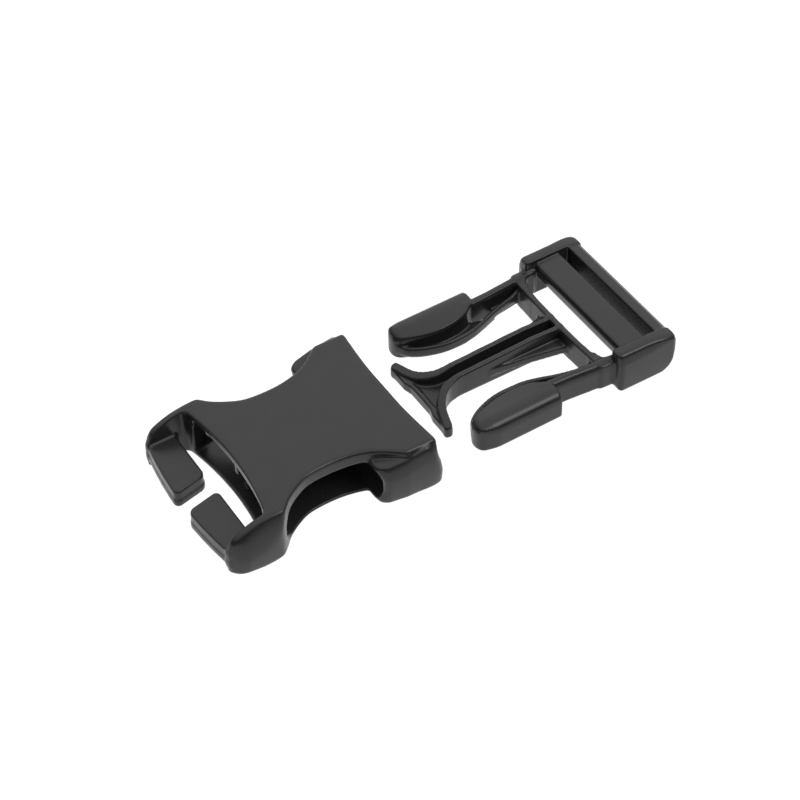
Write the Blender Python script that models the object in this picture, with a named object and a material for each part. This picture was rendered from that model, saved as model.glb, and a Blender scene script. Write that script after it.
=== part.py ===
"""Side release buckle for 25 mm webbing: a socket and the plug that snaps into it, lying unmated in one line.

World axes: +X runs from the socket's web end to the plug's web end, +Y to the left of that, +Z up.
The origin is on the surface that both halves lie on, under the middle of the pair. Numbers are millimetres.
"""

import math

import bmesh
import bpy
from mathutils import Matrix, Vector

MM = 0.001
FIT_GAP = 0.3            # between touching nodes of one moulding
OVERRUN = 2.0            # how far a cutter runs past the face that it opens
SAME_POINT = 0.02        # outline points nearer than this are one
STEM_ROOT_RADIUS = 1.2   # the stem's rounded root, about its hinge axis

# Driving dimensions
WEB_SLOT = 26.0          # clear width for 25 mm webbing
OVERALL_LENGTH = 90.0    # both halves, unmated
HOUSING_HEIGHT = 9.7
FRAME_HEIGHT = 8.5

# Heights inside the socket, and of what slides into it
FLOOR_Z = 1.0
ROOF_Z = 7.1
PAD_LOW_Z = 1.15
PAD_HIGH_Z = 6.75
STEM_LOW_Z = 1.5
STEM_HIGH_Z = 6.1
BLADE_LOW_Z = 1.6
BLADE_HIGH_Z = 4.0
BLOCK_TOP_Z = 8.1
HOOK_HIGH_Z = 4.7

# Places along X, from the plug's web end to the socket's
PLUG_REAR_X = OVERALL_LENGTH / 2
END_BAR_FRONT_X = PLUG_REAR_X - 3.3
GRIP_REAR_X = PLUG_REAR_X - 5.5
GRIP_FRONT_X = PLUG_REAR_X - 10.6
RAIL_FRONT_X = PLUG_REAR_X - 12.2
CROSS_REAR_X = PLUG_REAR_X - 13.5
CROSS_WALL = 1.2
CROSS_BOW = 0.8
HINGE_X = PLUG_REAR_X - 16.4
SHOULDER_X = PLUG_REAR_X - 24.3
PAD_NOSE_X = PLUG_REAR_X - 41.0
BLADE_FRONT_X = PLUG_REAR_X - 43.2
MOUTH_X = -5.4
MOUTH_CORNER_X = -3.2
RIM_X = -14.7            # front edge of the side windows, where the shoulders lock
WINDOW_REAR_X = -32.2
WEB_EDGE_X = -34.4       # edge of the plates over the webbing, on the centre line
HOOK_INNER_X = -38.4
SOCKET_REAR_X = -OVERALL_LENGTH / 2

# Half widths along Y
SLOT_Y = WEB_SLOT / 2
RAIL_Y = 16.6
ARM_Y = 16.6
WAIST_Y = 9.9
HINGE_Y = 11.7
PAD_Y = 14.2
THROAT_MOUTH_Y = 13.8
THROAT_RIM_Y = 12.95
REAR_CAVITY_Y = 12.6
SPINE_Y = 1.9
GROOVE_Y = 0.85
GUIDE_RIB_Y = 0.55
TIP_Y = 9.4


def clear_scene():
    for obj in list(bpy.data.objects):
        bpy.data.objects.remove(obj)


def moulded_plastic(name, shade, roughness):
    material = bpy.data.materials.new(name)
    material.use_nodes = True
    shader = material.node_tree.nodes["Principled BSDF"]
    shader.inputs["Base Color"].default_value = (shade, shade, shade, 1.0)
    shader.inputs["Roughness"].default_value = roughness
    shader.inputs["Metallic"].default_value = 0.0
    return material


def new_object(name, mesh):
    obj = bpy.data.objects.new(name, mesh)
    bpy.context.scene.collection.objects.link(obj)
    return obj


def prism(name, outline, place, depth, bevel=0.0):
    """The closed outline, placed in space by place, pushed along its own normal by depth."""
    mesh = bpy.data.meshes.new(name)
    work = bmesh.new()
    corners = [p for p, before in zip(outline, outline[-1:] + outline) if math.dist(p, before) > SAME_POINT]
    bottom = [work.verts.new(Vector((u, v, 0.0)) * MM) for u, v in corners]
    face = work.faces.new(bottom)
    pushed = bmesh.ops.extrude_face_region(work, geom=[face])
    top = [v for v in pushed["geom"] if isinstance(v, bmesh.types.BMVert)]
    bmesh.ops.translate(work, verts=top, vec=Vector((0.0, 0.0, depth * MM)))
    bmesh.ops.recalc_face_normals(work, faces=work.faces)
    if bevel:
        ends = [e for e in work.edges if abs(e.verts[0].co.z - e.verts[1].co.z) < 1e-9]
        bmesh.ops.bevel(work, geom=ends, offset=bevel * MM, segments=2, affect="EDGES", profile=0.5)
    bmesh.ops.transform(work, matrix=place, verts=work.verts)
    bmesh.ops.recalc_face_normals(work, faces=work.faces)
    work.to_mesh(mesh)
    work.free()
    return new_object(name, mesh)


def standing(name, outline, low, high, bevel=0.0):
    """An outline in plan, (x, y), standing from low to high."""
    return prism(name, outline, Matrix.Translation((0.0, 0.0, low * MM)), high - low, bevel)


def crosswise(name, profile, right, left, bevel=0.0):
    """A profile in side view, (x, z), running across the buckle from right to left."""
    turn = Matrix(((1, 0, 0, 0), (0, 0, 1, right * MM), (0, 1, 0, 0), (0, 0, 0, 1)))
    return prism(name, profile, turn, left - right, bevel)


def helper(obj):
    obj.hide_render = True
    obj.display_type = "WIRE"
    return obj


def apply_boolean(target, other, operation):
    step = target.modifiers.new(other.name, "BOOLEAN")
    step.object = helper(other)
    step.operation = operation
    step.solver = "EXACT"


def join(target, *others):
    for other in others:
        apply_boolean(target, other, "UNION")


def cut(target, *others):
    for other in others:
        apply_boolean(target, other, "DIFFERENCE")


def arc(centre, radii, start, end, steps=6):
    """Points on an ellipse's arc, both ends included, angles in degrees."""
    angles = [math.radians(start + (end - start) * i / steps) for i in range(steps + 1)]
    return [(centre[0] + radii[0] * math.cos(a), centre[1] + radii[1] * math.sin(a)) for a in angles]


def smooth(points, steps=4):
    """A Catmull-Rom curve through the points, ends included."""
    ends = [points[0]] + list(points) + [points[-1]]
    line = []
    for p, q, r, s in zip(ends, ends[1:], ends[2:], ends[3:]):
        for i in range(steps):
            t = i / steps
            line.append(tuple(
                b + 0.5 * ((c - a) * t + (2 * a - 5 * b + 4 * c - d) * t**2 + (3 * b - a - 3 * c + d) * t**3)
                for a, b, c, d in zip(p, q, r, s)
            ))
    return line + [tuple(points[-1])]


def mirrored(points):
    return [(x, -y) for x, y in reversed(points)]


def both_sides(half):
    """A closed outline from its left half, which runs from front to rear and ends off the centre line."""
    return half + mirrored(half)


def flipped(outline, side):
    return [(x, side * y) for x, y in outline]


# Socket

def mouth_edge_x(y):
    """The mouth's edge in plan: hollow in the middle, its corners forward."""
    return MOUTH_X + (MOUTH_CORNER_X - MOUTH_X) * (y / ARM_Y) ** 2


def plate_side():
    """The left edge of both plates from the mouth's corner, in at the waist and out to the web arm."""
    return smooth([
        (-4.6, 15.9), (-7.0, 15.6), (-9.4, 14.9), (-12.6, 12.8), (-16.2, 10.8), (-20.5, WAIST_Y),
        (-24.5, 10.0), (-28.4, 11.2), (-31.6, 13.2), (-34.8, 15.4), (-38.0, ARM_Y), (-40.8, ARM_Y - 0.1),
    ])


def mouth_line():
    return [(mouth_edge_x(y), y) for y in (0.1, 4.0, 8.0, 11.0, 13.5, 15.0)]


def housing_outline():
    corner = arc((-40.8, 14.2), (3.1, 2.3), 90, 180)
    web_end = [(-43.9, SLOT_Y + 0.2), (HOOK_INNER_X, SLOT_Y + 0.2)]
    slot_corner = [(-36.0, SLOT_Y + 0.1), (-35.8, 12.4)]
    arch = [(WEB_EDGE_X - 1.4 * (y / SLOT_Y) ** 2, y) for y in (11.0, 8.0, 4.0, 0.1)]
    return both_sides(mouth_line() + plate_side() + corner + web_end + slot_corner + arch)


def mouth_block(side):
    """The thick rounded wall beside the mouth, which the plug's shoulder locks behind."""
    front = [(mouth_edge_x(y) + 0.01, y) for y in (12.0, 14.0, 15.4)]
    outer = smooth([(-4.0, 16.2), (-6.0, 16.4), (-10.0, 16.0), (RIM_X + 0.7, 15.2)])
    rear = [(RIM_X, 14.6), (RIM_X, 12.0)]
    return standing("block", flipped(front + outer + rear, side), 0.2, BLOCK_TOP_Z, 0.5)


def cavity():
    """The hollow for the plug: flared at the mouth, narrow at the rims, then on to the web end."""
    half = [
        (MOUTH_CORNER_X + OVERRUN, THROAT_MOUTH_Y), (-7.5, THROAT_MOUTH_Y), (RIM_X - 0.4, THROAT_RIM_Y),
        (-30.0, THROAT_RIM_Y), (-33.2, REAR_CAVITY_Y), (WEB_EDGE_X - OVERRUN - 1.4, 11.7),
    ]
    return standing("cavity", both_sides(half), FLOOR_Z, ROOF_Z)


def window(side):
    """One side window, from the mouth block's rim to the web arm."""
    outline = [
        (RIM_X, 5.0), (RIM_X, ARM_Y + OVERRUN), (-33.6, ARM_Y + OVERRUN), (-33.6, 16.0),
        (-33.0, 13.6), (WINDOW_REAR_X, REAR_CAVITY_Y), (WINDOW_REAR_X, 5.0),
    ]
    return standing("window", flipped(outline, side), FLOOR_Z, ROOF_Z)


def roll_off():
    """Cuts the web arms down from the top plate to the height of the hooks."""
    roll = arc((-36.4, HOOK_HIGH_Z), (8.0, HOUSING_HEIGHT - HOOK_HIGH_Z), 90, 165)
    sky = [(-50.0, HOOK_HIGH_Z + 1.3), (-50.0, HOUSING_HEIGHT + OVERRUN), (-36.4, HOUSING_HEIGHT + OVERRUN)]
    return crosswise("roll", roll + sky, -20.0, 20.0)


def lip_flare():
    """Thins the top plate over the webbing so that its edge is a fine lip."""
    profile = [(-33.0, ROOF_Z - 0.5), (-33.0, ROOF_Z), (-38.0, 9.9), (-38.0, ROOF_Z - 0.5)]
    return crosswise("lip", profile, -11.7, 11.7)


def socket_housing(material):
    body = standing("socket_housing", housing_outline(), 0.0, HOUSING_HEIGHT, 0.5)
    join(body, mouth_block(1), mouth_block(-1))
    cut(body, cavity(), window(1), window(-1), roll_off(), lip_flare())
    rib = [(-15.5, GUIDE_RIB_Y), (-34.2, GUIDE_RIB_Y), (-34.2, -GUIDE_RIB_Y), (-15.5, -GUIDE_RIB_Y)]
    join(body, standing("roof_rib", rib, 5.2, ROOF_Z + 0.4), standing("floor_rib", rib, FLOOR_Z - 0.4, 2.9))
    body.data.materials.append(material)
    return body


def web_hook(name, side, material):
    """Half of the split end bar: webbing slips round its free end."""
    slant = 0.22
    centre = -0.4 + 0.5 * side * 4.8
    root = side * (SLOT_Y + 0.2 - FIT_GAP)
    rows = [root + (centre - root) * i / 5 for i in range(5)]
    outer = [(SOCKET_REAR_X + 1.1 * (y / SLOT_Y) ** 2, y) for y in rows]
    free = [(x, centre + slant * (x + 43.5)) for x in (SOCKET_REAR_X + 1.2, HOOK_INNER_X - 1.0)]
    tip = [(SOCKET_REAR_X + 0.3, free[0][1] + 0.8 * side), free[0], free[1]]
    outline = outer + tip + [(HOOK_INNER_X, free[1][1] + 0.9 * side), (HOOK_INNER_X, root)]
    hook = standing(name, outline, 0.4, HOOK_HIGH_Z, 0.5)
    hook.data.materials.append(material)
    return hook


# Plug

def rail(side):
    """One side of the webbing frame, arched over the grip bar and rounded at the end bar."""
    rear = arc((PLUG_REAR_X - 2.6, 3.2), (2.6, 3.2), -90, 0, 4)
    top = smooth([
        (PLUG_REAR_X, 5.6), (PLUG_REAR_X - 0.8, 7.3), (PLUG_REAR_X - 3.2, FRAME_HEIGHT - 0.2),
        (PLUG_REAR_X - 6.0, FRAME_HEIGHT), (PLUG_REAR_X - 9.6, FRAME_HEIGHT - 0.2), (RAIL_FRONT_X + 0.2, 7.6),
    ], 3)
    front = [(RAIL_FRONT_X, 7.2), (RAIL_FRONT_X, 0.8), (RAIL_FRONT_X + 0.8, 0.0)]
    low, high = sorted((side * SLOT_Y, side * RAIL_Y))
    return crosswise("rail", rear + top + front, low, high)


def end_bar():
    rear = arc((PLUG_REAR_X - 1.6, 4.0), (1.5, 3.2), -90, 90)
    front = [
        (END_BAR_FRONT_X + 0.3, 7.3), (END_BAR_FRONT_X, 6.9), (END_BAR_FRONT_X, 1.6),
        (END_BAR_FRONT_X + 0.6, 0.8),
    ]
    return crosswise("end_bar", rear + front, -SLOT_Y - 1, SLOT_Y + 1)


def grip_bar():
    """The wide bar that the webbing turns over, high and sharp at its rear edge."""
    profile = [
        (GRIP_REAR_X, FRAME_HEIGHT - 0.1), (GRIP_REAR_X - 0.4, FRAME_HEIGHT),
        (GRIP_FRONT_X + 0.3, FRAME_HEIGHT - 0.2), (GRIP_FRONT_X, 7.9), (GRIP_FRONT_X + 0.6, 5.4),
        (GRIP_FRONT_X + 1.6, 4.2), (GRIP_REAR_X - 0.9, 3.6), (GRIP_REAR_X, 4.6),
    ]
    return crosswise("grip_bar", profile, -SLOT_Y - 1, SLOT_Y + 1)


def cross_x(y):
    """Rear face of the thin wall across the front of the frame, bowed towards the prongs."""
    return CROSS_REAR_X - CROSS_BOW * (1 - (y / SLOT_Y) ** 2)


def cross_member():
    rows = [SLOT_Y * i / 6 for i in range(-6, 7)]
    rear = [(cross_x(y), y) for y in rows]
    front = [(cross_x(y) - CROSS_WALL, y) for y in reversed(rows)]
    return standing("cross_member", rear + front, STEM_LOW_Z, 6.6)


def root_block(side):
    """Ties the cross wall and one prong to its rail, cupped round the root of the prong's stem."""
    cup = STEM_ROOT_RADIUS + FIT_GAP
    outline = [(RAIL_FRONT_X + 1.0, 14.0), (RAIL_FRONT_X + 1.0, 12.9), (CROSS_REAR_X + 0.1, 12.2)]
    outline += [(CROSS_REAR_X - 0.2, 10.0), (HINGE_X + 1.3, 10.0)]
    outline += arc((HINGE_X, HINGE_Y), (cup, cup), -50, 65)
    outline += [(HINGE_X + 1.4, 13.5), (RAIL_FRONT_X - 0.3, 13.7)]
    return standing("root_block", flipped(outline, side), STEM_LOW_Z, STEM_HIGH_Z + 0.3)


def plug_frame(material):
    frame = end_bar()
    frame.name = "plug_frame"
    join(frame, grip_bar(), rail(1), rail(-1), cross_member(), root_block(1), root_block(-1))
    frame.data.materials.append(material)
    return frame


def guide_outline():
    """The centre guide in plan: gussets at the root, a straight spine and a fishtail at the tip."""
    half = smooth([(28.6, 6.4), (27.2, 4.6), (24.0, 3.2), (18.0, SPINE_Y), (9.6, SPINE_Y)], 3)
    half += smooth([(7.4, 2.3), (5.6, 3.6), (4.4, 5.8), (3.6, TIP_Y)], 3)
    half += [
        (2.4, TIP_Y), (BLADE_FRONT_X, TIP_Y - 0.6), (BLADE_FRONT_X - 0.3, 4.0), (BLADE_FRONT_X - 0.4, 0.05),
    ]
    return both_sides(half)


def guide_ribs():
    """The two tall ribs of the spine; their top falls towards the tip."""
    top = [(29.0, 6.6), (24.0, 6.8), (9.0, 6.0), (5.2, 5.3), (3.2, BLADE_HIGH_Z)]
    profile = top + [(3.2, BLADE_LOW_Z), (29.0, BLADE_LOW_Z)]
    return crosswise("ribs", profile, -SPINE_Y, SPINE_Y)


def groove(name, low, high):
    outline = [(27.0, -GROOVE_Y), (27.0, GROOVE_Y), (-OVERRUN, GROOVE_Y), (-OVERRUN, -GROOVE_Y)]
    return standing(name, outline, low, high)


def plug_centre_guide(material):
    guide = standing("plug_centre_guide", guide_outline(), BLADE_LOW_Z, BLADE_HIGH_Z)
    join(guide, guide_ribs())
    root = [(PLUG_REAR_X, -SLOT_Y), (PLUG_REAR_X, SLOT_Y)]
    root += [(cross_x(y) - CROSS_WALL - FIT_GAP, y) for y in (SLOT_Y, 8.0, 4.0, 0.0, -4.0, -8.0, -SLOT_Y)]
    cut(guide, groove("top_groove", 4.3, 9.0), groove("bottom_groove", 0.0, 3.1))
    cut(guide, standing("root_fit", root, 0.0, 9.0))
    guide.data.materials.append(material)
    return guide


def latch_arm(name, side, material):
    """A springy stem with its thumb pad; the pad's rear end is the shoulder that locks."""
    stem = arc((HINGE_X, HINGE_Y), (STEM_ROOT_RADIUS, STEM_ROOT_RADIUS), -90, 90, 8)
    stem += [(SHOULDER_X - 1.0, 12.6), (SHOULDER_X - 3.4, 10.6), (SHOULDER_X + 2.0, 10.2)]
    arm = standing(name, flipped(stem, side), STEM_LOW_Z, STEM_HIGH_Z)
    nose = smooth([
        (7.5, PAD_Y - 0.1), (5.4, 13.5), (PAD_NOSE_X, 12.0), (4.6, 10.2), (8.0, 8.8), (12.5, 8.3),
        (16.0, 9.0), (18.0, 10.4),
    ], 3)
    outline = [(SHOULDER_X, 10.6), (SHOULDER_X, PAD_Y)] + nose
    pad = standing("pad", flipped(outline, side), PAD_LOW_Z, PAD_HIGH_Z, 0.6)
    join(arm, pad)
    pivot = Vector((HINGE_X, side * HINGE_Y, 0.0)) * MM
    arm.data.transform(Matrix.Translation(-pivot))
    arm.location = pivot
    arm.data.materials.append(material)
    return arm


def main():
    clear_scene()
    black = moulded_plastic("black_acetal", 0.055, 0.42)
    socket_housing(black)
    web_hook("socket_left_hook", 1, black)
    web_hook("socket_right_hook", -1, black)
    plug_frame(black)
    plug_centre_guide(black)
    latch_arm("plug_left_latch_arm", 1, black)
    latch_arm("plug_right_latch_arm", -1, black)


main()
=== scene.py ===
"""The looks of a side release buckle: two satin black mouldings lying apart on a white table.

Each moulding is one continuous skin. Its shape is a field of distances to the surface, put together from
plan outlines, side profiles and slabs with filleted joins. The skin lies where that distance is nought.
The plug's skin is then shared out between its frame and its two latch arms, which on the real buckle bend
at their roots.
Shapes are in millimetres in the frame's own axes: +X towards the plug's web end, +Y left, +Z up.
"""

import itertools
import math

import bmesh
import bpy
import numpy as np
from mathutils import Matrix, Vector


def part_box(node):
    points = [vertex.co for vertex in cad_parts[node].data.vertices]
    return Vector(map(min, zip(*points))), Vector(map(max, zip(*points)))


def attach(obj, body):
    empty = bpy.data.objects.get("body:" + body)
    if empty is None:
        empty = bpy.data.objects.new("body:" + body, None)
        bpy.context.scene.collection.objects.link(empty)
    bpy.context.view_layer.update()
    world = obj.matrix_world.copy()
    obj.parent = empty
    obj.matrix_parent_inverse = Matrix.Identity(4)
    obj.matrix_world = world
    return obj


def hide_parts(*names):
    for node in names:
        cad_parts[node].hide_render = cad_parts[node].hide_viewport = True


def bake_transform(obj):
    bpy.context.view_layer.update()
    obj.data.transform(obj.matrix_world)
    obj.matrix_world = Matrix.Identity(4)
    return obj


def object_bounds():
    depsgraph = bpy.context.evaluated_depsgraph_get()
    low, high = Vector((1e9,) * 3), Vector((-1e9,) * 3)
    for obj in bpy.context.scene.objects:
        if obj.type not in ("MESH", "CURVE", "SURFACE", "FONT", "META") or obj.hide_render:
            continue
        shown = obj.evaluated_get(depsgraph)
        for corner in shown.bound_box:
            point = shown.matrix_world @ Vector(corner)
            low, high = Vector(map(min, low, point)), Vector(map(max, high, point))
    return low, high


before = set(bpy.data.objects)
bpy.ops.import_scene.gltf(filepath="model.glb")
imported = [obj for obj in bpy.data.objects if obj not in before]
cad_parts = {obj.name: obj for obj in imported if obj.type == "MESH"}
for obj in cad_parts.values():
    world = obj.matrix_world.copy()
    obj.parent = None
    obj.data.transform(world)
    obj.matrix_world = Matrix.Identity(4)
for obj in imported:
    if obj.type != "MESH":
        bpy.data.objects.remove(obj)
cad_low, cad_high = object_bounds()

MM = 0.001

# Sampling
CELL = 0.24             # spacing of the sample points
MARGIN = 0.7            # room between the surface and the edge of the grid
GRID_HALF_WIDTH = 17.6
SMOOTH_STEPS = 8        # stretches of a smooth curve between two of its points
FAR = 1e9
TINY = 1e-9

# Heights
HOUSING_TOP = 9.9
FLOOR_Z = 1.0
ROOF_Z = 7.1
HOOK_LOW = 1.6
HOOK_TOP = 5.1
FRAME_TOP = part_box("plug_frame")[1].z / MM
RAIL_TOP = FRAME_TOP + 0.4
WALL_MIDDLE = 4.5       # where the outer walls are widest
STEM_LOW = 1.5
STEM_TOP = 6.9
GUIDE_LOW = 1.15

# Places along X
SOCKET_REAR = cad_low.x / MM
PLUG_REAR = cad_high.x / MM
CUT_X = 29.6            # where an arm's skin leaves the frame's
FISHTAIL_X = 5.0        # the guide is wider in front of this
SHOULDER_X = 20.7       # the face of a pad that latches behind the window's rim
RAIL_FRONT = 32.5
SOCKET_FRONT = -1.8     # in front of all of the socket
PLUG_FRONT = 0.5        # in front of all of the plug
BLOCK_FRONT = -3.4
RIM_X = -14.7
FLOOR_RIB_REAR = -32.3
WINDOW_REAR_X = -32.8
FLARE_X = -36.6
HOOK_INNER_X = -38.2

# Half widths
SLOT_Y = 13.0
OUTER_Y = 16.6
ARM_INNER_Y = 13.6      # inside of the socket's arms, beside the webbing
PAD_Y = 15.95
GUIDE_REACH = 6.7       # the guide stays inside this, and the arms outside it
FISHTAIL_REACH = 9.9    # the same in front of FISHTAIL_X
STEM_HALF = 0.95

PAD_ROLL = 2.3          # the rounding along a thumb pad's outer top edge
NOSE_ROLL = 1.8         # the rounding over its nose

# The bank between a top face and an outer wall slopes at 55 degrees
BANK_OUT = 0.82         # sine of the slope
BANK_UP = 0.57          # cosine of the slope
BANK_RUN = 0.69         # how far it comes in for each millimetre of drop


# Fields: distance to a surface in millimetres, negative inside

class Space:
    """Sample points on a regular grid, as three arrays that broadcast against each other."""

    def __init__(self, low, high, cell):
        x, y, z = (np.arange(a, b + cell, cell) for a, b in zip(low, high))
        self.low = np.array(low, float)
        self.cell = cell
        self.x = x[:, None, None]
        self.y = y[None, :, None]
        self.z = z[None, None, :]
        self.side = np.abs(self.y)


def common(a, b, fillet=0.0):
    """Inside both, with the edge between them rounded."""
    if not np.any(fillet):
        return np.maximum(a, b)
    rounded = np.hypot(np.maximum(a + fillet, 0), np.maximum(b + fillet, 0))
    return np.minimum(-fillet, np.maximum(a, b)) + rounded


def union(a, b, fillet=0.0):
    """Inside either, with the corner between them filled."""
    return -common(-a, -b, fillet)


def without(a, b, fillet=0.0):
    """Inside a but not b, with the edge between them rounded."""
    return common(a, -b, fillet)


def slab(v, low, high):
    """Between two parallel planes."""
    return np.maximum(low - v, v - high)


def inside(points, u, v):
    """Distance to a closed outline, over arrays u and v."""
    u, v = np.broadcast_arrays(u, v)
    nearest = np.full(u.shape, FAR)
    within = np.zeros(u.shape, bool)
    for (a, b), (c, d) in zip(points, points[1:] + points[:1]):
        length = (c - a) ** 2 + (d - b) ** 2
        if length < TINY:
            continue
        along = np.clip(((u - a) * (c - a) + (v - b) * (d - b)) / length, 0, 1)
        nearest = np.minimum(nearest, np.hypot(u - a - along * (c - a), v - b - along * (d - b)))
        if b != d:
            within ^= ((b > v) != (d > v)) & (u < a + (v - b) * (c - a) / (d - b))
    return np.where(within, -nearest, nearest)


def near_line(points, u, v):
    """Distance to an open line, over arrays u and v."""
    nearest = np.full(np.broadcast(u, v).shape, FAR)
    for (a, b), (c, d) in zip(points, points[1:]):
        length = (c - a) ** 2 + (d - b) ** 2
        along = np.clip(((u - a) * (c - a) + (v - b) * (d - b)) / length, 0, 1)
        nearest = np.minimum(nearest, np.hypot(u - a - along * (c - a), v - b - along * (d - b)))
    return nearest


def arc(centre, radii, start, end, steps=10):
    """Points on an ellipse's arc, angles in degrees."""
    angles = [math.radians(start + (end - start) * i / steps) for i in range(steps + 1)]
    return [(centre[0] + radii[0] * math.cos(a), centre[1] + radii[1] * math.sin(a)) for a in angles]


def spline(a, b, c, d, t):
    """A Catmull-Rom curve's value, t of the way from b to c."""
    square = 2 * a - 5 * b + 4 * c - d
    cube = 3 * b - a - 3 * c + d
    return 0.5 * (2 * b + (c - a) * t + square * t**2 + cube * t**3)


def smooth(points, steps=SMOOTH_STEPS):
    """A Catmull-Rom curve through the points, ends included."""
    ends = [points[0]] + list(points) + [points[-1]]
    line = []
    for p, q, r, s in zip(ends, ends[1:], ends[2:], ends[3:]):
        for i in range(steps):
            line.append(tuple(spline(a, b, c, d, i / steps) for a, b, c, d in zip(p, q, r, s)))
    return line + [tuple(points[-1])]


def ramp(v, points):
    """Straight-line interpolation through (place, value) pairs."""
    places, values = zip(*sorted(points))
    return np.interp(v, places, values)


# Socket

def web_end(y):
    """The bowed outer edge of the web bar and arms, rounded off at the corners."""
    return SOCKET_REAR + 1.1 * (y / SLOT_Y) ** 2 + 0.25 * np.maximum(np.abs(y) - 14.0, 0) ** 2


def socket_plan():
    """Half the outline of both plates, from the middle of the mouth round the waist to the web end."""
    mouth = smooth([(-4.9, -2.0), (-4.9, 0.0), (-4.9, 4.6), (-4.7, 8.5), (-4.4, 12.0), (-4.2, 14.2)])
    corner = smooth([(-4.2, 14.4), (-4.5, 15.6), (-5.4, 16.5), (-7.4, 16.3)])
    waist = smooth([
        (-7.4, 16.3), (-9.6, 15.5), (-11.5, 14.0), (-13.5, 12.5), (-16.1, 11.2), (-19.6, 10.4),
        (-23.2, 10.25), (-26.4, 10.6), (-28.9, 11.7), (-31.2, 13.2), (-33.0, 15.0), (-34.4, 16.1),
        (-36.6, OUTER_Y),
    ])
    hooks = [(web_end(y), y) for y in (17.0, 16.0, 14.5, 13.0, 11.5, 10.0, 7.0, 4.0, 1.0, -2.0)]
    return mouth + corner + waist + hooks


def web_arch(space):
    """Distance in plan, positive on the web side, of the plates' edges over and under the webbing."""
    lip = ramp(space.z, [(1.2, -0.1), (2.6, 0.0)])
    return -34.4 + lip - 1.5 * (space.side / SLOT_Y) ** 2 - space.x


def bulge(z):
    """How far the outer walls draw in above and below their middle."""
    return np.where(z < WALL_MIDDLE, 0.02, 0.012) * (z - WALL_MIDDLE) ** 2


def bank(side, z, half_width, top, drop):
    """The steep bank between a top face and an outer wall, which it meets that far below the top."""
    return BANK_OUT * (side - half_width + BANK_RUN * drop) + BANK_UP * (z - top)


def block_field(space):
    """The wall beside the mouth; its ledge shows outside the top plate."""
    plan = smooth([
        (-3.6, 11.0), (-3.1, 14.0), (-3.0, 16.2), (-3.6, 17.2), (-5.4, 17.4), (-8.0, 17.4), (-11.0, 17.2),
        (-13.4, 16.8), (-14.8, 15.6), (-15.4, 13.4), (-15.4, 11.0),
    ])
    half_width = ramp(space.x, [(-15.4, 15.1), (-13.8, 16.0), (-10.5, 16.5), (-5.0, OUTER_Y)])
    top = ramp(space.x, [(-15.0, 8.1), (-13.3, 8.3), (-8.4, 9.0), (-5.0, 9.6)])
    outer_bank = bank(space.side, space.z, half_width, top, 1.5)
    wall = common(space.side - half_width + bulge(space.z), outer_bank, 0.9)
    lean = ramp(space.z, [(3.0, 0.0), (5.0, 0.35), (8.0, 1.25), (9.7, 2.1)])
    section = common(common(wall, space.z - top, 0.4), space.x - BLOCK_FRONT + lean, 1.4)
    section = common(section, -space.z, 0.6)
    return common(inside(plan, space.x, space.side), section, 0.7)


def hook_field(space):
    """The web bar, split by a slanted gap into two hooks, with a parting step half way up."""
    slant = 0.22
    across = 0.977      # cosine of the slant's angle
    half_gap = 1.95
    gap = slab((space.y - 0.15 - slant * (space.x + 41.0)) * across, -half_gap, half_gap)
    bar = common(inside(socket_plan(), space.x, space.side) + 0.15, space.x - HOOK_INNER_X, 0.6)
    bar = without(common(bar, space.side - SLOT_Y - 1.5), gap, 1.2)
    lower = common(bar - 0.05, slab(space.z, HOOK_LOW, 3.2), 0.35)
    upper = common(bar + 0.1, slab(space.z, 2.4, HOOK_TOP), 0.3)
    return union(lower, upper)


def shell_field(space):
    """The plates and outer walls with the gap for the webbing, before the inside is hollowed out."""
    x, z, side = space.x, space.z, space.side
    top = ramp(x, smooth([(-44.9, 3.2), (-44.0, 5.1), (-43.0, 6.6), (-42.0, 7.5), (-40.2, 8.5),
                          (-38.0, 9.3), (-35.5, 9.75), (-33.0, HOUSING_TOP)]))
    flank = common(side - OUTER_Y + bulge(z), bank(side, z, OUTER_Y, top, 2.6), 1.8)
    plates = common(inside(socket_plan(), x, side), slab(z, 0, HOUSING_TOP), 0.8)
    corner = ramp(x, [(-44.5, 1.6), (-42.0, 1.2), (-38.0, 0.3)])
    shell = union(common(plates, common(flank, z - top, 0.5), corner), block_field(space), 0.35)
    return without(shell, common(-web_arch(space), side - ARM_INNER_Y, 0.9), 0.25)


def throat_field(space):
    """The space from the mouth to the web end, which narrows inwards."""
    half_width = ramp(space.x, [(-36.0, 11.9), (-33.2, 12.6), (-30.0, 12.95), (-17.0, 13.3), (-15.2, 14.3),
                                (0.0, 14.6)])
    return common(space.side - half_width, slab(space.z, FLOOR_Z, ROOF_Z), 0.9)


def window_field(space):
    """The opening in each side that a thumb pad springs out into."""
    tall = slab(space.z, FLOOR_Z + 0.1, ROOF_Z - 0.1)
    return common(common(slab(space.x, WINDOW_REAR_X, RIM_X), tall, 2.3), 5.0 - space.side)


def flare_field(space):
    """Where the roof lifts inside, towards the web end."""
    roof = 9.2 + 0.56 * (FLARE_X - space.x)
    flare = common(slab(space.z, ROOF_Z - 0.5, roof), space.side - 11.9, 0.8)
    return common(flare, space.x + 33.0)


def socket_field(space):
    body = without(shell_field(space), throat_field(space), 0.3)
    body = without(body, window_field(space), ramp(space.x, [(-20.0, 0.45), (-16.0, 0.9)]))
    body = without(body, flare_field(space), 0.2)
    rib = common(space.side - 0.55, slab(space.x, -34.0, -15.5), 0.2)
    roof_rib = common(rib, slab(space.z, 5.2, 8.0), 0.2)
    floor_rib = common(common(rib, FLOOR_RIB_REAR - space.x), slab(space.z, 0.4, 2.0), 0.2)
    body = union(union(body, roof_rib, 0.2), floor_rib, 0.2)
    return union(body, hook_field(space), 0.7)


# Plug

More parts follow.
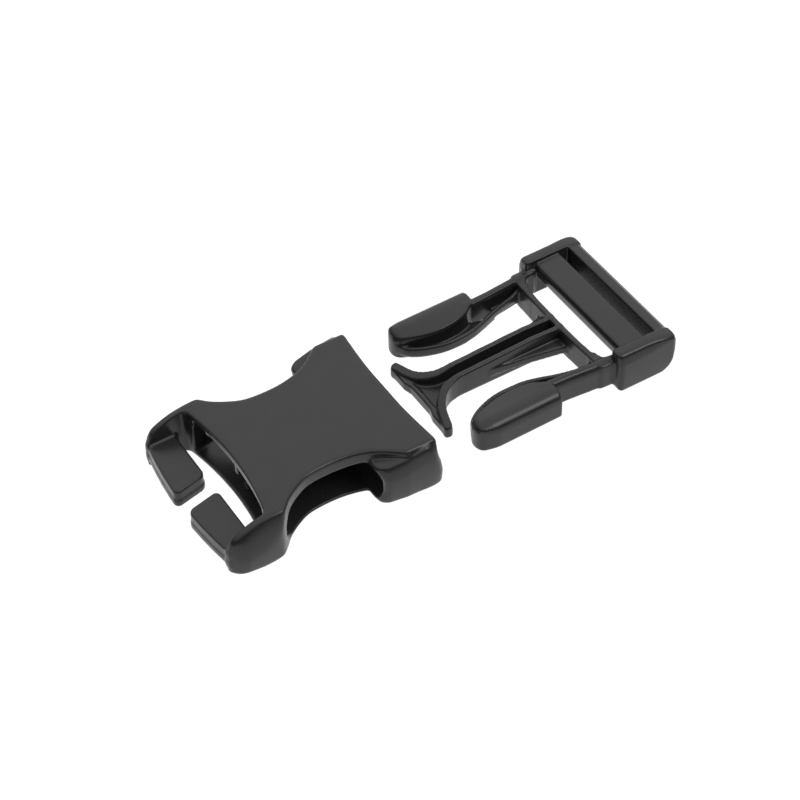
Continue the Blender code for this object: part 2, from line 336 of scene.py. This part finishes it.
def rail_field(space):
    """A side of the webbing frame, with a steep bank along its outer top edge."""
    x, z, side = space.x, space.z, space.side
    rear = arc((PLUG_REAR - 3.9, 3.7), (3.7, 3.7), -90, 0, 6)
    top = smooth([(PLUG_REAR, 5.0), (PLUG_REAR - 0.1, 7.2), (PLUG_REAR - 1.2, 8.4),
                  (PLUG_REAR - 5.2, RAIL_TOP), (PLUG_REAR - 8.6, RAIL_TOP), (RAIL_FRONT, RAIL_TOP)])
    front = [(RAIL_FRONT, 0.2), (RAIL_FRONT + 0.3, 0.0)]
    profile = inside(rear + top + front, x, z)
    drop = ramp(x, [(RAIL_FRONT, 2.0), (PLUG_REAR - 6.0, 1.8), (PLUG_REAR, 0.8)])
    wall = common(side - OUTER_Y + bulge(z), bank(side, z, OUTER_Y, RAIL_TOP, drop), 0.3)
    ends = np.maximum(RAIL_FRONT - x, x - PLUG_REAR)
    wall = common(common(wall, ends, 1.2), z - RAIL_TOP, 0.8)
    rail = common(common(profile, wall, 0.4), np.maximum(side - OUTER_Y + 0.2, -z), 2.0)
    return common(rail, SLOT_Y - side, 0.3)


def bar_fields(space):
    """The end bar, and the grip bar that the webbing turns over."""
    end = [(44.9, 1.8), (44.95, 4.2), (44.8, 6.6), (44.4, 7.7), (43.6, 8.3), (41.8, 8.4), (41.8, 1.4),
           (42.4, 0.8), (44.0, 0.8)]
    grip = [(39.7, FRAME_TOP - 0.4), (34.9, FRAME_TOP - 0.6), (34.6, FRAME_TOP - 1.0), (34.5, 6.8),
            (34.7, 5.3), (35.6, 3.8), (37.2, 2.2), (38.4, 1.0), (39.7, 1.0)]
    bars = union(inside(end, space.x, space.z), inside(grip, space.x, space.z))
    return common(bars + 0.15, space.side - SLOT_Y - 0.8) - 0.15


def cross_x(side):
    """Rear face of the thin wall across the front of the frame."""
    return 31.1 - 0.5 * (1 - (side / SLOT_Y) ** 2)


def cross_field(space):
    """The bowed cross wall and the blocks that tie it to the rails."""
    rear = cross_x(space.side)
    wall = common(slab(space.x, rear - 1.15, rear), space.side - SLOT_Y - 0.2, 0.3)
    root = smooth([(30.2, 10.4), (30.3, 12.4), (30.0, 13.9), (32.4, 14.1), (34.2, 14.6), (34.2, 12.6),
                   (32.4, 12.4), (31.5, 11.2), (31.2, 10.2), (30.2, 10.4)], 4)
    plan = union(wall, inside(root, space.x, space.side), 0.8)
    return common(plan, slab(space.z, STEM_LOW, 6.6), 0.25)


def guide_path():
    """The middle of one of the guide's ribs: along the spine, then out round the fishtail."""
    spine = [(30.0, 1.4), (9.6, 1.4)]
    return spine + smooth([(8.4, 1.4), (6.3, 1.75), (4.6, 2.85), (3.2, 5.0), (2.15, 8.5)])


def guide_field(space):
    """The centre guide: two ribs, the web and gussets between them, and the fishtail's front."""
    x, z, side = space.x, space.z, space.side
    rib_top = ramp(x, [(1.6, 3.4), (3.4, 4.1), (5.4, 5.1), (9.0, 6.1), (24.0, 6.8), (30.0, 6.6)])
    half_rib = ramp(x, [(2.0, 0.75), (6.0, 0.8), (9.5, 0.5)])
    ribs = common(near_line(guide_path(), x, side) - half_rib, slab(z, GUIDE_LOW, rib_top), 0.25)
    web_plan = [(29.8, -2.0), (29.8, 1.4)] + guide_path()[1:] + [(2.1, 8.4), (2.2, 4.0), (2.6, -2.0)]
    web_top = ramp(x, [(2.2, 2.7), (6.0, 3.2), (12.0, 3.8)])
    web = common(inside(web_plan, x, side), slab(z, 2.2, web_top), 0.2)
    front_x = ramp(side, [(3.0, 1.95), (4.6, 1.5)])
    front_plan = common(slab(x, front_x, 2.9), side - 9.0, 0.3)
    front = common(front_plan, slab(z, GUIDE_LOW, 3.4 - 0.05 * side), 0.25)
    gusset_plan = [(15.0, 1.0), (15.0, 1.9), (22.9, 3.1), (28.6, 4.2), (30.2, 4.9), (30.2, 1.0)]
    gusset = common(inside(gusset_plan, x, side), slab(z, 2.6, 4.3), 0.25)
    guide = union(union(ribs, web, 0.35), gusset, 0.3)
    return union(guide, front, 0.25)


def pad_outline():
    """The raised D of a thumb pad, straight outside and bellied inside."""
    belly = smooth([(8.0, PAD_Y), (6.4, 15.6), (5.0, 15.1), (4.3, 14.0), (4.3, 12.6), (5.2, 11.4),
                    (7.6, 10.4), (11.4, 9.5), (15.2, 9.5), (18.2, 10.3), (19.8, 11.6), (SHOULDER_X, 13.0)])
    return [(SHOULDER_X, PAD_Y)] + belly


def flange_path():
    """The thin inner wall of an arm, from the cross wall along the pad's belly to the nose."""
    return smooth([(30.4, 11.4), (27.4, 10.7), (24.0, 9.8), (20.6, 8.6), (17.4, 7.8), (12.6, 7.7),
                   (8.6, 8.8), (6.0, 10.4), (4.9, 12.2)])


def stem_field(space):
    """The springy stem, from its root in the rail to the pad."""
    line = [(33.6, 13.2), (29.4, 12.9), (24.0, 12.4), (19.0, 12.2)]
    outside = ramp(space.x, line) + STEM_HALF
    stem = common(near_line(line, space.x, space.side) - STEM_HALF, slab(space.z, STEM_LOW, STEM_TOP), 0.5)
    return common(stem, bank(space.side, space.z, outside, STEM_TOP, 1.0), 0.3)


def flange_field(space):
    """The thin inner wall of an arm."""
    low = ramp(space.x, [(16.0, 2.5), (20.0, 3.0), (26.0, 3.4)])
    top = ramp(space.x, [(5.0, 4.4), (12.0, 4.5), (22.0, 4.8), (28.0, 5.0), (30.0, 5.6)])
    return common(near_line(flange_path(), space.x, space.side) - 0.4, slab(space.z, low, top), 0.25)


def pad_low(x):
    """Height of a thumb pad's underside."""
    return ramp(x, [(4.5, 1.2), (20.4, 1.5)])


def pad_field(space):
    """The raised thumb pad, which falls away inwards and is rounded outside and over its nose."""
    x, z, side = space.x, space.z, space.side
    crown = ramp(x, [(5.0, 0.3), (8.0, 0.24), (12.0, 0.16), (17.5, 0.08), (20.0, 0.04)])
    top = ramp(x, [(4.5, 6.5), (7.0, 6.8), (20.4, 7.05)]) - crown * np.maximum(13.0 - side, 0)
    over = np.maximum(common(side - PAD_Y, z - top, PAD_ROLL), common(4.1 - x, z - top, NOSE_ROLL))
    return common(common(inside(pad_outline(), x, side), over, 0.35), pad_low(x) - z, 0.5)


def arm_field(space):
    """A latch arm: stem, inner wall and pad, with low floors between them."""
    x, z, side = space.x, space.z, space.side
    root_plan = [(30.2, 11.0), (30.2, 13.0), (24.2, 12.6), (23.6, 10.0)]
    root_floor = common(inside(root_plan, x, side), slab(z, 2.4, 3.6), 0.3)
    belly = flange_path()[2 * SMOOTH_STEPS:]
    pad_plan = belly + [(6.0, 13.9), (8.0, 14.4), (19.4, 14.4), (19.4, 11.0)]
    pad_floor = common(inside(pad_plan, x, side), slab(z, pad_low(x) + 0.6, 3.1), 0.4)
    arm = union(union(stem_field(space), root_floor, 0.4), flange_field(space), 0.35)
    return union(union(arm, pad_floor, 0.3), pad_field(space), 0.3)


def plug_field(space):
    """The whole plug, arms included."""
    frame_part = union(union(rail_field(space), bar_fields(space), 0.25), cross_field(space), 0.6)
    return union(union(frame_part, guide_field(space), 0.4), arm_field(space), 0.5)


# Skins

def sample(values, at):
    """Trilinear reading of a grid of values at places in cell units."""
    base = np.clip(at.astype(int), 0, np.array(values.shape) - 2)
    t = at - base
    total = 0.0
    for corner in itertools.product((0, 1), repeat=3):
        weight = np.prod(np.where(corner, t, 1 - t), axis=1)
        total = total + weight * values[tuple((base + corner).T)]
    return total


def crossings(field, axis):
    """Grid edges along axis that the surface crosses: first corner, how far along, and if they lead out."""
    first = np.take(field, range(field.shape[axis] - 1), axis)
    second = np.take(field, range(1, field.shape[axis]), axis)
    at = np.argwhere((first < 0) != (second < 0))
    a = first[tuple(at.T)]
    b = second[tuple(at.T)]
    return at, a / (a - b), a < 0


def net(field):
    """Surface nets: a point in each cell that the surface crosses, and a quad round each crossed edge."""
    shape = np.array(field.shape)
    found = [crossings(field, axis) for axis in range(3)]
    cells, places = [], []
    for axis, (at, t, _) in enumerate(found):
        place = at.astype(float)
        place[:, axis] += t
        for step in itertools.product((0, 1), repeat=2):
            offset = np.insert(step, axis, 0)
            cells.append(at - offset)
            places.append(place)
    cells = np.ravel_multi_index(np.concatenate(cells).T, shape, mode="clip")
    places = np.concatenate(places)
    used, which = np.unique(cells, return_inverse=True)
    count = np.bincount(which)
    points = np.stack([np.bincount(which, places[:, i]) / count for i in range(3)], axis=1)
    quads = []
    for axis, (at, _, leaving) in enumerate(found):
        b, c = (axis + 1) % 3, (axis + 2) % 3
        ring = []
        for step_b, step_c in ((1, 1), (0, 1), (0, 0), (1, 0)):
            cell = at.copy()
            cell[:, b] -= step_b
            cell[:, c] -= step_c
            ring.append(np.searchsorted(used, np.ravel_multi_index(cell.T, shape, mode="clip")))
        ring = np.stack(ring, axis=1)
        quads.append(np.where(leaving[:, None], ring, ring[:, ::-1]))
    return points, np.concatenate(quads)


def surface(space, field):
    """Points in millimetres, quads, and outward normals of a field's surface."""
    tries = 3
    longest = 0.4       # of a cell, for each try
    field = np.ascontiguousarray(np.broadcast_to(field, (space.x.size, space.y.size, space.z.size)))
    points, quads = net(field)
    slopes = np.gradient(field)
    for _ in range(tries):
        slope = np.stack([sample(s, points) for s in slopes], axis=1)
        step = sample(field, points) / np.maximum((slope**2).sum(axis=1), TINY)
        points = points - np.clip(slope * step[:, None], -longest, longest)
    normals = np.stack([sample(s, points) for s in slopes], axis=1)
    normals /= np.maximum(np.linalg.norm(normals, axis=1), TINY)[:, None]
    return space.low + points * space.cell, quads, normals


def build(name, points, quads, normals, material):
    """One closed piece from those points that its quads use; an open edge gets a flat cap."""
    used, faces = np.unique(quads, return_inverse=True)
    mesh = bpy.data.meshes.new(name)
    mesh.from_pydata((points[used] * MM).tolist(), [], faces.reshape(-1, 4).tolist())
    mesh.update()
    work = bmesh.new()
    work.from_mesh(mesh)
    edge = [e for e in work.edges if e.is_boundary]
    if edge:
        bmesh.ops.holes_fill(work, edges=edge, sides=0)
    work.to_mesh(mesh)
    work.free()
    mesh.shade_smooth()
    outward = normals[used]
    loops = np.zeros(len(mesh.loops), int)
    mesh.loops.foreach_get("vertex_index", loops)
    by_loop = outward[loops]
    for cap in mesh.polygons[len(quads):]:
        by_loop[list(cap.loop_indices)] = cap.normal
    mesh.normals_split_custom_set(by_loop.tolist())
    piece = bpy.data.objects.new(name, mesh)
    bpy.context.scene.collection.objects.link(piece)
    mesh.materials.append(material)
    return piece


# Material

def black_acetal():
    """Satin black plastic with the fine grain of a spark-eroded mould."""
    material = bpy.data.materials.new("black_acetal")
    material.use_nodes = True
    nodes, links = material.node_tree.nodes, material.node_tree.links
    shader = nodes["Principled BSDF"]
    place = nodes.new("ShaderNodeTexCoord")
    grain = nodes.new("ShaderNodeTexNoise")
    grain.inputs["Scale"].default_value = 4200.0
    grain.inputs["Detail"].default_value = 2.0
    bump = nodes.new("ShaderNodeBump")
    bump.inputs["Strength"].default_value = 0.25
    bump.inputs["Distance"].default_value = 0.00004
    cloud = nodes.new("ShaderNodeTexNoise")
    cloud.inputs["Scale"].default_value = 350.0
    shade = nodes.new("ShaderNodeValToRGB")
    shade.color_ramp.elements[0].color = (0.016, 0.016, 0.0165, 1.0)
    shade.color_ramp.elements[1].color = (0.024, 0.024, 0.0245, 1.0)
    rough = nodes.new("ShaderNodeMapRange")
    rough.inputs["To Min"].default_value = 0.24
    rough.inputs["To Max"].default_value = 0.32
    links.new(place.outputs["Object"], grain.inputs["Vector"])
    links.new(place.outputs["Object"], cloud.inputs["Vector"])
    links.new(grain.outputs["Fac"], bump.inputs["Height"])
    links.new(bump.outputs["Normal"], shader.inputs["Normal"])
    links.new(cloud.outputs["Fac"], shade.inputs["Fac"])
    links.new(shade.outputs["Color"], shader.inputs["Base Color"])
    links.new(cloud.outputs["Fac"], rough.inputs["Value"])
    links.new(rough.outputs["Result"], shader.inputs["Roughness"])
    shader.inputs["IOR"].default_value = 1.45
    shader.inputs["Specular IOR Level"].default_value = 0.42
    return material


# Stage

# Angles in degrees, and places in metres
CAMERA_AZIMUTH = 59.22      # of the line of sight, from +X towards +Y
CAMERA_DROP = 45.73         # of the line of sight, below level
CAMERA_ROLL = -1.67
CAMERA_DISTANCE = 0.38523
CAMERA_TARGET = (-0.0022, -0.0002, 0.005)
LENS = 101.74
SENSOR = 36.0
TABLE_HALF = 3.0
TABLE_Z = -0.0002


def make_camera():
    """A long lens, high on the buckle's right side."""
    azimuth, drop, roll = (math.radians(a) for a in (CAMERA_AZIMUTH, CAMERA_DROP, CAMERA_ROLL))
    ahead = math.cos(drop)
    sight = Vector((math.cos(azimuth) * ahead, math.sin(azimuth) * ahead, -math.sin(drop)))
    level = sight.cross(Vector((0, 0, 1))).normalized()
    upward = level.cross(sight)
    right = level * math.cos(roll) + upward * math.sin(roll)
    top = upward * math.cos(roll) - level * math.sin(roll)
    camera = bpy.data.objects.new("camera", bpy.data.cameras.new("camera"))
    turn = Matrix((right, top, -sight)).transposed().to_4x4()
    camera.matrix_world = Matrix.Translation(Vector(CAMERA_TARGET) - sight * CAMERA_DISTANCE) @ turn
    camera.data.lens = LENS
    camera.data.sensor_width = SENSOR
    camera.data.clip_start = 0.01
    bpy.context.scene.collection.objects.link(camera)
    bpy.context.scene.camera = camera


def make_floor():
    """A white table that glows, so that it stays evenly pale."""
    mesh = bpy.data.meshes.new("table")
    corners = [(x * TABLE_HALF, y * TABLE_HALF, 0) for x, y in ((-1, -1), (1, -1), (1, 1), (-1, 1))]
    mesh.from_pydata(corners, [], [(0, 1, 2, 3)])
    floor = bpy.data.objects.new("table", mesh)
    floor.location.z = TABLE_Z
    bpy.context.scene.collection.objects.link(floor)
    material = bpy.data.materials.new("table")
    material.use_nodes = True
    shader = material.node_tree.nodes["Principled BSDF"]
    shader.inputs["Base Color"].default_value = (0.12, 0.12, 0.12, 1)
    shader.inputs["Roughness"].default_value = 0.9
    shader.inputs["Emission Color"].default_value = (1, 1, 1, 1)
    shader.inputs["Emission Strength"].default_value = 1.02
    mesh.materials.append(material)


def softbox(name, place, width, height, watts):
    """An area light that faces the buckle, in metres."""
    data = bpy.data.lights.new(name, "AREA")
    data.shape = "RECTANGLE"
    data.size = width
    data.size_y = height
    data.energy = watts
    lamp = bpy.data.objects.new(name, data)
    lamp.location = place
    lamp.rotation_euler = (-Vector(place)).to_track_quat("-Z", "Y").to_euler()
    bpy.context.scene.collection.objects.link(lamp)


def make_lights():
    """One high softbox, in a room that brightens upwards and is dark low down."""
    world = bpy.data.worlds.new("studio")
    bpy.context.scene.world = world
    world.use_nodes = True
    nodes, links = world.node_tree.nodes, world.node_tree.links
    nodes["Background"].inputs["Color"].default_value = (1, 1, 1, 1)
    place = nodes.new("ShaderNodeTexCoord")
    towards = nodes.new("ShaderNodeVectorMath")
    towards.operation = "DOT_PRODUCT"
    towards.inputs[1].default_value = (0.2, 0.35, 1.0)
    height = nodes.new("ShaderNodeMapRange")
    height.inputs["From Min"].default_value = 0.36
    height.inputs["From Max"].default_value = 0.8
    height.inputs["To Min"].default_value = 0.0
    height.inputs["To Max"].default_value = 1.32
    links.new(place.outputs["Generated"], towards.inputs[0])
    links.new(towards.outputs["Value"], height.inputs["Value"])
    links.new(height.outputs["Result"], nodes["Background"].inputs["Strength"])
    softbox("key", place=(0.55, -0.85, 1.05), width=0.55, height=0.55, watts=5.0)
    bpy.context.scene.view_settings.view_transform = "Standard"


def arm_side(points):
    """+1 on the left arm, -1 on the right arm, 0 on the frame and guide."""
    x, y = points[:, 0], points[:, 1]
    reach = np.where(x > FISHTAIL_X, GUIDE_REACH, FISHTAIL_REACH)
    return np.where((x < CUT_X) & (np.abs(y) > reach), np.sign(y), 0).astype(int)


def make_socket(material):
    """One skin over the housing and its two hooks."""
    low = (SOCKET_REAR - MARGIN, -GRID_HALF_WIDTH, -MARGIN)
    high = (SOCKET_FRONT, GRID_HALF_WIDTH, HOUSING_TOP + MARGIN)
    space = Space(low, high, CELL)
    piece = build("socket_moulding", *surface(space, socket_field(space)), material)
    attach(piece, "socket")
    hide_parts("socket_housing", "socket_left_hook", "socket_right_hook")


def make_plug(material):
    """One skin over the whole plug, cut into the frame with its guide and two arms."""
    low = (PLUG_FRONT, -GRID_HALF_WIDTH, -MARGIN)
    high = (PLUG_REAR + MARGIN, GRID_HALF_WIDTH, FRAME_TOP + MARGIN)
    space = Space(low, high, CELL)
    points, quads, normals = surface(space, plug_field(space))
    corner_sides = arm_side(points)[quads]
    side = np.where((corner_sides == corner_sides[:, :1]).all(axis=1), corner_sides[:, 0], 0)
    piece = build("plug_moulding", points, quads[side == 0], normals, material)
    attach(piece, "plug")
    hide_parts("plug_frame", "plug_centre_guide")
    for name, sign in (("left", 1), ("right", -1)):
        arm = build(name + "_latch_arm", points, quads[side == sign], normals, material)
        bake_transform(arm)
        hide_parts("plug_" + name + "_latch_arm")


black = black_acetal()
make_socket(black)
make_plug(black)
make_camera()
make_floor()
make_lights()
